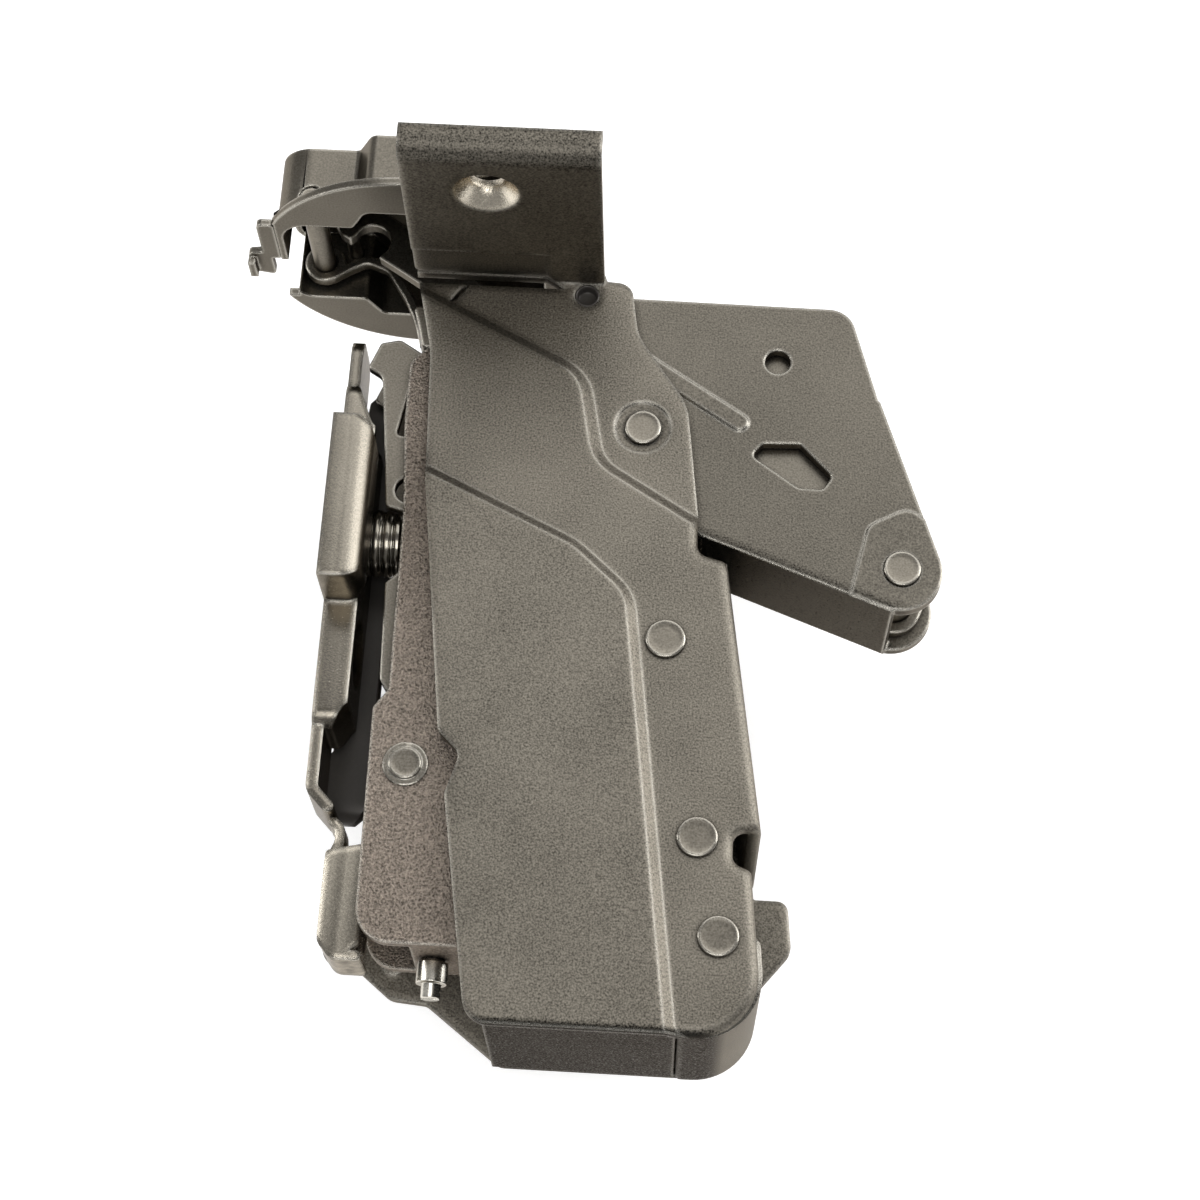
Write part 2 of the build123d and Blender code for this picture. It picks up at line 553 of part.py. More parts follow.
with BuildPart() as mounting_plate:
    rail_mid = (rail_front + rail_rear) / 2
    with BuildSketch(Plane.YZ):
        with Locations((rail_mid, 0)):
            RectangleRounded(rail_front - rail_rear, rail_width, 2.0)
    extrude(amount=rail_height)
    # the rail's ends slope down to the lip and the tongue
    front_slope = [(plate_sheet, rail_front + 1, 0), (plate_sheet, rail_front, 0), (rail_height, rail_front - 7, 3),
                   (rail_height + 5, rail_front - 7, 0), (rail_height + 5, rail_front + 1, 0)]
    blank(front_slope, -rail_width, rail_width, mode=Mode.SUBTRACT)
    rear_slope = [(plate_sheet, rail_rear - 1, 0), (plate_sheet + 0.9, rail_rear, 0), (rail_height, rail_rear + 3.4, 2),
                  (rail_height + 5, rail_rear + 3.4, 0), (rail_height + 5, rail_rear - 1, 0)]
    blank(rear_slope, -rail_width, rail_width, mode=Mode.SUBTRACT)
    # front lip and the rear tongue with its curled end
    with BuildSketch(Plane.YZ):
        with Locations((rail_front, 0)):
            RectangleRounded(14.0, rail_width - 2, 2.5)
    extrude(amount=plate_sheet)
    tongue_line = [(plate_sheet / 2, rail_rear + 4), (plate_sheet / 2, tongue_end + 2.2), (2.9, tongue_end)]
    strip(tongue_line, [1.5], plate_sheet, 1 - rail_width / 2, rail_width / 2 - 1)
    # wings that steady the plate on the wall
    for side in (1, -1):
        with Locations((0, 0, side * (wing_span / 2 + 6.5) / 2)):
            Box(wing_height, wing_width, wing_span / 2 - 6.5, align=(Align.MIN, Align.CENTER, Align.CENTER))
        with Locations((0, 0, side * 5)):
            Box(rail_height, wing_width, 5, align=(Align.MIN, Align.CENTER, Align.CENTER))
    ends = mounting_plate.faces().filter_by(Axis.Z).sort_by(Axis.Z)
    crown = [ends[0].edges().sort_by(Axis.X)[-1], ends[-1].edges().sort_by(Axis.X)[-1]]
    long_edges = mounting_plate.edges().filter_by(Axis.Z).filter_by(lambda edge: edge.center().X > wing_height - 0.01)
    fillet(crown + list(long_edges), wing_round)
    # screw holes and the pocket for the side screw
    for y in (-plate_screw_spacing / 2, plate_screw_spacing / 2):
        with Locations(Plane.YZ.offset(rail_height) * Pos(y, 0, 0)):
            CounterSinkHole(plate_screw_r, plate_sink_r, depth=rail_height)
    with Locations((1.6, side_screw_y, 0)):
        Cylinder(side_screw_r + 0.5, rail_height, rotation=(0, 90, 0), align=STAND, mode=Mode.SUBTRACT)
mounting_plate.part.label = "mounting_plate"
export_step(mounting_plate.part, "parts/mounting_plate.step")

# ---- clip carrier: the inner channel clipped to the mounting plate --------------------

carrier_web_x = 18.4
carrier_top = 12.4              # upper end of the carrier's web
carrier_edge = [
    (2.5, 21.6, 0.5), (4.5, 20.4, 1.5), (5.3, 13.5, 8), (6.5, 2.2, 0.6), (9.0, 1.6, 0.8), (9.0, -6.6, 0.8),
    (7.4, -8.2, 0.5), (7.9, -21.0, 1), (9.4, -23.4, 1), (9.6, carrier_end, 2.5), (carrier_web_x, carrier_end, 1),
    (carrier_web_x, 20.0, 1), (9.6, 23.8, 1.5), (6.4, 25.8, 1.2), (3.9, 25.2, 0.6),
]
half_carrier = carrier_width / 2
with BuildPart() as clip_carrier:
    for low in (half_carrier - carrier_sheet, -half_carrier):
        blank(carrier_edge, low, low + carrier_sheet)
    with Locations((carrier_web_x, carrier_end, 0)):
        Box(carrier_sheet, carrier_top - carrier_end, carrier_width, align=(Align.MAX, Align.MIN, Align.CENTER))
    window_edge = [(8.2, 18.9, 0.2), (8.9, 18.9, 0.2), (8.9, 12.0, 0.5), (7.0, 12.2, 0.6)]
    blank(window_edge, -half_carrier, half_carrier, mode=Mode.SUBTRACT)
    pin((9.3, 4.6), 1.75, -half_carrier, half_carrier, mode=Mode.SUBTRACT)
    # long holes that let the arm's rivet travel, and the latch pin's holes
    with BuildSketch(Plane.XY.offset(-half_carrier)):
        with Locations(arm_rivet):
            SlotOverall(2 * arm_rivet_r + 6.0, 2 * arm_rivet_r + 0.4, rotation=90)
    extrude(amount=carrier_width, mode=Mode.SUBTRACT)
    pin(latch_pivot, latch_pin_r, -half_carrier, half_carrier, mode=Mode.SUBTRACT)
    # notch that the depth screw's tip enters
    with Locations((carrier_web_x, carrier_end, 0)):
        Box(2 * carrier_sheet, 7.0, 2 * depth_screw_r + 1.8, mode=Mode.SUBTRACT)
    # bushed hole for the side screw
    with Locations((carrier_web_x - 4.0, side_screw_y, 0)):
        Cylinder(side_screw_r - 0.8, 4.0, rotation=(0, 90, 0), align=STAND)
    with Locations((0, side_screw_y, 0)):
        Cylinder(side_screw_r - 1.8 + running_gap, 40, rotation=(0, 90, 0), mode=Mode.SUBTRACT)
clip_carrier.part.label = "clip_carrier"
export_step(clip_carrier.part, "parts/clip_carrier.step")

# ---- side screw, depth screw --------------------------------------------------------

side_end = 2.1
with BuildPart() as side_screw:
    with Locations((side_end, side_screw_y, 0)):
        Cylinder(side_screw_r, 6.4, rotation=(0, 90, 0), align=STAND)
        Cylinder(side_screw_r - 1.8, carrier_web_x - side_end + 1.0, rotation=(0, 90, 0), align=STAND)
    for turn in range(4):
        with Locations((side_end + 1.2 + 1.4 * turn, side_screw_y, 0)):
            Torus(side_screw_r + 0.1, 0.32, rotation=(0, 90, 0), mode=Mode.SUBTRACT)
    with Locations((carrier_web_x + 1.2, side_screw_y, 0)):
        Box(3, 0.8, 3.2, mode=Mode.SUBTRACT)
        Box(3, 3.2, 0.8, mode=Mode.SUBTRACT)
side_screw.part.label = "side_screw"
export_step(side_screw.part, "parts/side_screw.step")

# the depth screw is threaded through the arm's end and bears on the carrier
collar_length = 2.6
slotted_length = 1.8
with BuildPart() as depth_screw:
    with Locations((depth_screw_x, arm_end - 0.4, 0)):
        Cylinder(depth_screw_r + 0.5, collar_length, rotation=(90, 0, 0), align=STAND)
        Cylinder(depth_screw_r - 0.2, collar_length + slotted_length, rotation=(90, 0, 0), align=STAND)
    with Locations((depth_screw_x, arm_end + 4.4, 0)):
        Cylinder(depth_screw_r, 4.8, rotation=(90, 0, 0), align=STAND)
    for turn in range(2):
        with Locations((depth_screw_x, arm_end + 2.4 + turn, 0)):
            Torus(depth_screw_r + 0.1, 0.3, rotation=(90, 0, 0), mode=Mode.SUBTRACT)
    with Locations((depth_screw_x, arm_end - 0.4 - collar_length - slotted_length, 0)):
        Box(3.0, 1.8, 0.6, mode=Mode.SUBTRACT)
depth_screw.part.label = "depth_screw"
export_step(depth_screw.part, "parts/depth_screw.step")

# ---- release latch with its pin ----------------------------------------------------

half_latch = 3.9
latch_edge = [
    (3.2, -42.6, 0.6), (7.4, -41.6, 1.0), (11.5, -43.4, 2), (17.0, -43.4, 2), (17.0, -48.4, 2),
    (8.4, -49.0, 1), (8.2, -53.9, 1.0), (5.6, -55.9, 0.8), (3.2, -54.0, 1.5),
]
latch_back = 3.15               # outer face of the latch's web
with BuildPart() as latch:
    blank(latch_edge, half_latch - latch_sheet, half_latch)
    blank(latch_edge, -half_latch, latch_sheet - half_latch)
    web_x = latch_back + latch_sheet / 2
    strip([(8.0, -55.3), (5.2, -55.3), (web_x, -53.4), (web_x, -44.0)], [1.2, 1.8], latch_sheet,
          -half_latch, half_latch)
    # the tooth curls under the end of the mounting plate's tongue
    strip([(web_x, -46.0), (web_x, -43.2), (4.6, -41.0), (4.4, -39.2), (3.6, -38.6)], [1.6, 2.0, 0.8], latch_sheet,
          -2.4, 2.4)
    pin(latch_pivot, latch_pin_r + running_gap, -half_latch, half_latch, mode=Mode.SUBTRACT)
latch.part.label = "latch"
export_step(latch.part, "parts/latch.step")

with BuildPart() as latch_pin:
    pin(latch_pivot, latch_pin_r, -half_carrier, half_carrier)
latch_pin.part.label = "latch_pin"
export_step(latch_pin.part, "parts/latch_pin.step")

# ---- hinge arm: the outer channel, spot-welded under the housing plate ----------------

half_arm = z_mid                # the arm touches the middle face of the housing plate
arm_web_top = -4.0
arm_edge = [
    (8.1, 22.0, 2.5), (10.8, 24.6, 1.5), (13.0, 24.6, 0.5), (19.8, 18.0, 1), (arm_web_x, 16.0, 1),
    (arm_web_x, arm_end, 0.5), (7.9, arm_end, 4.2), (7.6, -25.2, 1), (9.3, -22.8, 1), (9.0, 1.0, 20), (8.1, 13.0, 20),
]
arm_far = [(8.1, 21.4, 1.0), (16.6, 21.4, 1.0), *arm_edge[3:]]
with BuildPart() as hinge_arm:
    blank(arm_edge, half_arm - arm_sheet, half_arm)
    blank(arm_far, -half_arm, arm_sheet - half_arm)
    with Locations((arm_web_x, arm_end, 0)):
        Box(arm_sheet, arm_web_top - arm_end, 2 * half_arm, align=(Align.MAX, Align.MIN, Align.CENTER))
        Box(7.8, arm_sheet, 2 * half_arm, align=(Align.MAX, Align.MIN, Align.CENTER))
    with Locations((depth_screw_x, arm_end, 0)):
        Cylinder(depth_screw_r + running_gap, 8, rotation=(90, 0, 0), mode=Mode.SUBTRACT)
    with Locations((arm_web_x, side_screw_y, 0)):
        Cylinder(side_screw_r - 1.0, 4, rotation=(0, 90, 0), mode=Mode.SUBTRACT)
    pin(arm_rivet, arm_rivet_r - 0.4, -half_arm, half_arm, mode=Mode.SUBTRACT)
hinge_arm.part.label = "hinge_arm"
export_step(hinge_arm.part, "parts/hinge_arm.step")

with BuildPart() as arm_pin:
    # riveted heads, each on a raised ring
    pin(arm_rivet, arm_rivet_r - 0.4, -half_arm, half_arm)
    for low, high, radius in ((0, 0.25, arm_rivet_r + 0.8), (0, 0.55, arm_rivet_r)):
        pin(arm_rivet, radius, half_arm + low, half_arm + high)
        pin(arm_rivet, radius, -half_arm - high, -half_arm - low)
arm_pin.part.label = "arm_pin"
export_step(arm_pin.part, "parts/arm_pin.step")

# ---- damper: cylinder, rod, and the spiral cam that turns with the outer link ----------

damper_z = z_floor + damper_r + 0.2
damper_top = -22.0
damper_base = -52.0
damper_length = damper_top - damper_base
slider_y = main_pivot[1] - cam_reach - cam_gap
with BuildPart() as damper_body:
    with Locations((main_pivot[0], damper_top, damper_z)):
        Cylinder(damper_r, damper_length, rotation=(90, 0, 0), align=STAND)
        Cylinder(damper_rod_r + running_gap, damper_length - 8, rotation=(90, 0, 0), align=STAND, mode=Mode.SUBTRACT)
    ends = damper_body.faces().filter_by(Axis.Y).sort_by(Axis.Y)
    chamfer(ends[0].edges(), 0.6)
damper_body.part.label = "damper_body"
export_step(damper_body.part, "parts/damper_body.step")

with BuildPart() as damper_rod:
    with Locations((main_pivot[0], slider_y - slider_r, damper_z)):
        Cylinder(damper_rod_r, slider_y - damper_top + 9.0, rotation=(90, 0, 0), align=STAND)
        Cylinder(slider_r, 3.0, rotation=(90, 0, 0), align=STAND)
        Sphere(slider_r)
damper_rod.part.label = "damper_rod"
export_step(damper_rod.part, "parts/damper_rod.step")

cradle_spots = (-28.0, -46.0)
with BuildPart() as damper_cradle:
    with Locations((main_pivot[0], (damper_top + damper_base) / 2, z_floor)):
        Box(2 * damper_r - 1.2, damper_length - 2, 2.0, align=STAND)
    for y in cradle_spots:
        with Locations((main_pivot[0], y, z_floor)):
            Box(2 * damper_r + 3.0, 5.0, damper_r + 1.8, align=STAND)
    with Locations((main_pivot[0], (damper_top + damper_base) / 2, damper_z)):
        Cylinder(damper_r, 2 * damper_length, rotation=(90, 0, 0), mode=Mode.SUBTRACT)
damper_cradle.part.label = "damper_cradle"
export_step(damper_cradle.part, "parts/damper_cradle.step")

cam_low = z_floor + 0.3
cam_high = z_web_end
cam_steps = 10
with BuildPart() as damper_cam:
    # the radius under the rod falls steadily as the door opens
    spiral = []
    for step in range(-2, cam_steps + 3):
        turned = swing_angle * step / cam_steps
        reach = cam_reach - damper_lift * step / cam_steps
        angle = math.radians(-90 - turned)
        spiral.append(near(main_pivot, reach * math.cos(angle), reach * math.sin(angle)))
    with BuildSketch(Plane.XY.offset(cam_low)):
        with BuildLine():
            Spline(*spiral)
            Polyline(spiral[-1], main_pivot, spiral[0])
        make_face()
        with Locations(main_pivot):
            Circle(4.2)
    extrude(amount=cam_high - cam_low)
    pin(main_pivot, main_rivet_r + running_gap, cam_low, cam_high, mode=Mode.SUBTRACT)
damper_cam.part.label = "damper_cam"
export_step(damper_cam.part, "parts/damper_cam.step")

# ---- closing spring wound round the guide stud's collar -------------------------------

coil_r = 4.2
wire_r = 0.6
coil_turns = 4
coil_pitch = 1.25
with BuildPart() as closing_spring:
    with BuildLine() as coil:
        Helix(pitch=coil_pitch, height=coil_pitch * coil_turns, radius=coil_r,
              center=(*guide_pivot, z_floor + wire_r + 0.05))
    with BuildSketch(Plane(coil.line @ 0, z_dir=coil.line % 0)):
        Circle(wire_r)
    sweep(path=coil.line, is_frenet=True)
closing_spring.part.label = "closing_spring"
export_step(closing_spring.part, "parts/closing_spring.step")

# ---- clip hooked over the left end of the cup ------------------------------------------

clip_edge = [
    (-4.5, 9.2, 0.5), (-6.8, 9.2, 0.8), (-6.8, 2.0, 0.4), (-8.8, 1.6, 0.8), (-8.8, -2.8, 1.2), (-5.6, -3.6, 0.6),
    (-5.6, 0.8, 0.3), (-4.5, 0.8, 0.2),
]
with BuildPart() as cup_clip:
    with BuildSketch(Plane.XZ.offset(-cup_face)):
        with BuildLine():
            FilletPolyline(*[(cup_left + 4.5 + x, z) for x, z, r in clip_edge], radius=[r for x, z, r in clip_edge],
                           close=True)
        make_face()
    extrude(amount=-clip_sheet)
    # curled rim on the hook
    with Locations((cup_left - 4.3, cup_face - 1.2, -2.4)):
        Box(clip_sheet, 1.2, 3.4, align=(Align.MIN, Align.MIN, Align.MIN))
cup_clip.part.label = "cup_clip"
export_step(cup_clip.part, "parts/cup_clip.step")
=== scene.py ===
"""Concealed cup hinge: metal finishes, fine forms and a plain studio round the fixed frame."""

import json
import math

import bpy
import numpy as np
from bpy.props import FloatProperty, FloatVectorProperty, PointerProperty
from bpy.types import Operator, Panel, PropertyGroup
from mathutils import Matrix, Vector

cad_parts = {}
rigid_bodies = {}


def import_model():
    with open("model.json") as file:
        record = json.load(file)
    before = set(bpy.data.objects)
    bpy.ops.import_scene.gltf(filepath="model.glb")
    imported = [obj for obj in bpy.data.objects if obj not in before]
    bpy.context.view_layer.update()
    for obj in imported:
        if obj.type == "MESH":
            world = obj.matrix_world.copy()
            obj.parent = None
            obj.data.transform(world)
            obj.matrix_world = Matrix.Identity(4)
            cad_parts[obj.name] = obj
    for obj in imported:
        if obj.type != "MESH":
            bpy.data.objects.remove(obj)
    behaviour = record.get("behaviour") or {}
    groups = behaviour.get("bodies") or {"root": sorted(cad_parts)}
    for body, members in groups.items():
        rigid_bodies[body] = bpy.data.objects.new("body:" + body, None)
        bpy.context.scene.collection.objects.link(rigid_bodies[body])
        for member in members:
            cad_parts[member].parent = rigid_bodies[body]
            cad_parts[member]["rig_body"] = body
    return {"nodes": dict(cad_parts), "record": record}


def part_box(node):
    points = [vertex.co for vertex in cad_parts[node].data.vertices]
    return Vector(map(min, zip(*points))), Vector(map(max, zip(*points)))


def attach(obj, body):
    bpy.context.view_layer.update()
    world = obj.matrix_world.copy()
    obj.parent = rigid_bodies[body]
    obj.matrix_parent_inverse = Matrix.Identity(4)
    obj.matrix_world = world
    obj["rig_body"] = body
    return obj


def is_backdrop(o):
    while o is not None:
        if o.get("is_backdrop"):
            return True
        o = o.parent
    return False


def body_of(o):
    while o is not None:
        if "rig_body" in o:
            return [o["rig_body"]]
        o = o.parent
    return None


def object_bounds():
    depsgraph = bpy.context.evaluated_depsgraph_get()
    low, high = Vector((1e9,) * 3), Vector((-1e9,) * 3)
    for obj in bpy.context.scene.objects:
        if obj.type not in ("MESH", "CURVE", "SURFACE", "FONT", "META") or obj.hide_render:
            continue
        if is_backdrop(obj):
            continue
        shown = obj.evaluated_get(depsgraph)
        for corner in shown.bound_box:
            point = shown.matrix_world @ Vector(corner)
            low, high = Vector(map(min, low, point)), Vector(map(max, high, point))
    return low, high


bl_info = {
    "name": "Concealed cup hinge",
    "version": (1, 0, 0),
    "blender": (4, 5, 0),
    "location": "View3D > Sidebar > Hinge",
    # The strip named in the description is a dark strip of painted shade in the seat's gap
    "description": "Finishes, rounded edges, rivet heads, slide strip and studio of a concealed cup hinge",
    "category": "Object",
}

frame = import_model()
CAD_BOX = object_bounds()
MM = 0.001


# ---- settings --------------------------------------------------------------------------


class HingeFinish(PropertyGroup):
    """Colours and grain of the plated metal."""

    nickel: FloatVectorProperty(
        name="Nickel", description="Colour of the satin nickel sheet",
        subtype="COLOR", size=3, default=(0.168, 0.153, 0.127), min=0, max=1)
    # Also the bright colour painted on sharp edges: rubbed wear and painted highlight
    nickel_bright: FloatVectorProperty(
        name="Bright nickel", description="Colour of rubbed edges, rivets and pins",
        subtype="COLOR", size=3, default=(0.66, 0.63, 0.56), min=0, max=1)
    damper_gray: FloatVectorProperty(
        name="Damper gray", description="Colour of the damper's plastic",
        subtype="COLOR", size=3, default=(0.032, 0.029, 0.026), min=0, max=1)
    cam_white: FloatVectorProperty(
        name="Cam white", description="Colour of the plastic cam",
        subtype="COLOR", size=3, default=(0.62, 0.60, 0.54), min=0, max=1)
    grain_size: FloatProperty(
        name="Grain", description="Size of the plate's fine grain",
        subtype="DISTANCE", default=0.00024, min=0.00002, max=0.002)
    sheet_roughness: FloatProperty(
        name="Sheet roughness", description="Roughness of the satin sheet",
        default=0.46, min=0, max=1)


class HingeForms(PropertyGroup):
    """Sizes of the formed details."""

    edge_round: FloatProperty(
        name="Edge round", description="Radius left on a punched edge by tumbling",
        subtype="DISTANCE", default=0.00013, min=0, max=0.001)
    # Sizes of the dark strip that is painted shade in the gap beside the mounting plate's rail
    shade_strip_reach: FloatProperty(
        name="Shade strip reach", description="How far the slide strip stands from the cabinet wall",
        subtype="DISTANCE", default=0.0065, min=0.002, max=0.008)
    shade_strip_height: FloatProperty(
        name="Shade strip height", description="Height of the slide strip's section",
        subtype="DISTANCE", default=0.0032, min=0.001, max=0.004)


class HingeStudio(PropertyGroup):
    """Floor and light."""

    key_power: FloatProperty(
        name="Key light", description="Power of the large soft lamp on the door's side",
        subtype="POWER", default=6.2, min=0)
    fill_power: FloatProperty(
        name="Fill light", description="Power of the low lamp on the opening's side",
        subtype="POWER", default=2.2, min=0)
    front_power: FloatProperty(
        name="Front light", description="Power of the high lamp on the rear end's side",
        subtype="POWER", default=3.0, min=0)
    rim_power: FloatProperty(
        name="Rim light", description="Power of the low lamp on the cabinet wall's side",
        subtype="POWER", default=1.0, min=0)
    world_level: FloatProperty(
        name="World", description="Strength of the even surrounding light",
        default=0.3, min=0, max=2)
    floor_colour: FloatVectorProperty(
        name="Floor", description="Colour of the floor",
        subtype="COLOR", size=3, default=(0.9, 0.9, 0.9), min=0, max=1)
    floor_lift: FloatProperty(
        name="Floor lift", description="White added to the floor as the camera and the metal see it",
        default=0.42, min=0, max=1)


# ---- shader groups ---------------------------------------------------------------------


def group(name, inputs, outputs):
    """An empty shader node group with named float or vector sockets."""
    tree = bpy.data.node_groups.new(name, "ShaderNodeTree")
    for label, kind, value in inputs:
        socket = tree.interface.new_socket(name=label, in_out="INPUT", socket_type=kind)
        socket.default_value = value
    for label, kind in outputs:
        tree.interface.new_socket(name=label, in_out="OUTPUT", socket_type=kind)
    return tree, tree.nodes.new("NodeGroupInput"), tree.nodes.new("NodeGroupOutput")


def fill_inputs(tree, node, values):
    """Fills a node's first inputs: a socket is linked, a number or a vector is set, and None is left."""
    for slot, value in zip(node.inputs, values):
        if isinstance(value, bpy.types.NodeSocket):
            tree.links.new(value, slot)
        elif value is not None:
            slot.default_value = value
    return node


def math_node(tree, operation, a, b=None, clamp=False):
    """A Math node whose inputs are sockets or numbers."""
    node = tree.nodes.new("ShaderNodeMath")
    node.operation, node.use_clamp = operation, clamp
    return fill_inputs(tree, node, (a, b)).outputs[0]


def vector_node(tree, operation, a, b):
    """A Vector Math node whose inputs are sockets or vectors."""
    node = tree.nodes.new("ShaderNodeVectorMath")
    node.operation = operation
    return fill_inputs(tree, node, (a, b))


def object_place(tree):
    """The point's own place on the hinge."""
    return tree.nodes.new("ShaderNodeTexCoord").outputs["Object"]


def noise_node(tree, vector, scale, detail=2.0):
    """Noise over a vector, at a scale that is a number or a socket."""
    node = tree.nodes.new("ShaderNodeTexNoise")
    tree.links.new(vector, node.inputs["Vector"])
    node.inputs["Detail"].default_value = detail
    if isinstance(scale, bpy.types.NodeSocket):
        tree.links.new(scale, node.inputs["Scale"])
    else:
        node.inputs["Scale"].default_value = scale
    return node.outputs["Fac"]


def grain_group():
    """Fine grain of a tumbled nickel plate: a speckle plus slow cloudy patches."""
    tree, inp, out = group(
        "Plate grain",
        [("Scale", "NodeSocketFloat", 4500.0), ("Speckle", "NodeSocketFloat", 0.3),
         ("Cloud", "NodeSocketFloat", 0.2)],
        [("Shade", "NodeSocketFloat"), ("Roughness", "NodeSocketFloat"), ("Height", "NodeSocketFloat")])
    cloud_scale, rough_share = 90.0, 0.15
    place = object_place(tree)
    speckle = noise_node(tree, place, inp.outputs["Scale"])
    cloud = noise_node(tree, place, cloud_scale, detail=3.0)
    fine = math_node(tree, "MULTIPLY", math_node(tree, "SUBTRACT", speckle, 0.5), inp.outputs["Speckle"])
    slow = math_node(tree, "MULTIPLY", math_node(tree, "SUBTRACT", cloud, 0.5), inp.outputs["Cloud"])
    both = math_node(tree, "ADD", fine, slow)
    tree.links.new(math_node(tree, "ADD", both, 1.0), out.inputs["Shade"])
    tree.links.new(math_node(tree, "MULTIPLY", both, rough_share), out.inputs["Roughness"])
    tree.links.new(speckle, out.inputs["Height"])


def streak_group():
    """Soft streaks left along y by drawing or rolling: noise stretched along y."""
    tree, inp, out = group(
        "Draw streaks", [("Width", "NodeSocketFloat", 0.0012)], [("Shade", "NodeSocketFloat")])
    squeeze = (1.0, 0.03, 1.0)
    stretched = vector_node(tree, "MULTIPLY", object_place(tree), squeeze).outputs[0]
    count = math_node(tree, "DIVIDE", 1.0, inp.outputs["Width"])
    streaks = noise_node(tree, stretched, count, detail=1.0)
    tree.links.new(math_node(tree, "SUBTRACT", streaks, 0.5), out.inputs["Shade"])


def polish_and_highlight_group():
    """Where the punch polishes the metal and a highlight is painted: one inside a radius round a point,
    with a thin soft rim.
    """
    tree, inp, out = group(
        "Punch polish",
        [("Centre", "NodeSocketVector", (0.0, 0.0, 0.0)), ("Radius", "NodeSocketFloat", 0.0045)],
        [("Amount", "NodeSocketFloat")])
    reach = vector_node(tree, "DISTANCE", object_place(tree), inp.outputs["Centre"]).outputs["Value"]
    inside = math_node(tree, "SUBTRACT", inp.outputs["Radius"], reach)
    rim_width = 0.00025
    tree.links.new(math_node(tree, "MULTIPLY", inside, 1.0 / rim_width, clamp=True), out.inputs["Amount"])


def edge_wear_and_shade_group():
    """Bright edges where the surface turns sharply, as rubbed wear and painted highlight, and painted shade
    in hollows, where the surface is closed in.
    """
    tree, inp, out = group(
        "Rubbed edges",
        [("Width", "NodeSocketFloat", 0.0006), ("Break up", "NodeSocketFloat", 0.5)],
        [("Edge", "NodeSocketFloat"), ("Hollow", "NodeSocketFloat")])
    gain, patch_scale, hollow_reach, samples = 14.0, 1400.0, 0.0012, 4
    # Sharp edges, later blended to the bright colour: rubbed wear and painted highlight
    bevel = tree.nodes.new("ShaderNodeBevel")
    bevel.samples = samples
    tree.links.new(inp.outputs["Width"], bevel.inputs["Radius"])
    geometry = tree.nodes.new("ShaderNodeNewGeometry")
    turn = vector_node(tree, "DOT_PRODUCT", bevel.outputs["Normal"], geometry.outputs["Normal"])
    bent = math_node(tree, "SUBTRACT", 1.0, turn.outputs["Value"])
    sharp = math_node(tree, "MULTIPLY", bent, gain, clamp=True)
    patches = noise_node(tree, object_place(tree), patch_scale)
    kept = math_node(tree, "SUBTRACT", 1.0, math_node(tree, "MULTIPLY", patches, inp.outputs["Break up"]))
    tree.links.new(math_node(tree, "MULTIPLY", sharp, kept, clamp=True), out.inputs["Edge"])
    # Painted shade: ambient occlusion marks corners and gaps where shade falls
    hollow = tree.nodes.new("ShaderNodeAmbientOcclusion")
    hollow.samples = samples
    hollow.inputs["Distance"].default_value = hollow_reach
    tree.links.new(math_node(tree, "SUBTRACT", 1.0, hollow.outputs["AO"]), out.inputs["Hollow"])


def strain_and_shade_group():
    """How far a sheet is bent, which also places painted shade: rises along a direction between two
    distances.
    """
    tree, inp, out = group(
        "Bend strain",
        [("Direction", "NodeSocketVector", (0.0, 0.0, 1.0)), ("Start", "NodeSocketFloat", 0.0),
         ("Full", "NodeSocketFloat", 0.001)],
        [("Amount", "NodeSocketFloat")])
    along = vector_node(tree, "DOT_PRODUCT", object_place(tree), inp.outputs["Direction"])
    ramp = tree.nodes.new("ShaderNodeMapRange")
    ramp.interpolation_type = "SMOOTHSTEP"
    tree.links.new(along.outputs["Value"], ramp.inputs["Value"])
    tree.links.new(inp.outputs["Start"], ramp.inputs["From Min"])
    tree.links.new(inp.outputs["Full"], ramp.inputs["From Max"])
    tree.links.new(ramp.outputs["Result"], out.inputs["Amount"])


def placed(tree, name, **values):
    """A shader node group placed in a material with its own values."""
    node = tree.nodes.new("ShaderNodeGroup")
    node.node_tree = bpy.data.node_groups[name]
    for label, value in values.items():
        node.inputs[label].default_value = value
    return node


# ---- finishes --------------------------------------------------------------------------

# Painted shade on bent sheet, with coarser grain at the folds: the tab's fold band, the housing's end wall
# and the outer link's web, which face away from the light, are darkened. Each row: direction, distances at
# which it starts and is full, how dark it gets
HOUSING_BEND_SHADES = (((0.0, 0.0, 1.0), 0.0345, 0.0358, 0.3), ((0.0, -1.0, 0.0), 0.0627, 0.0636, 0.95))
LINK_BEND_SHADES = (((-0.35, -0.937, 0.0), -0.0181, -0.0169, 0.5),)
# Centre of the painted highlight and the polish in the tab's dimple
TAB_DIMPLE = (0.0181, 0.0358, 0.0289)
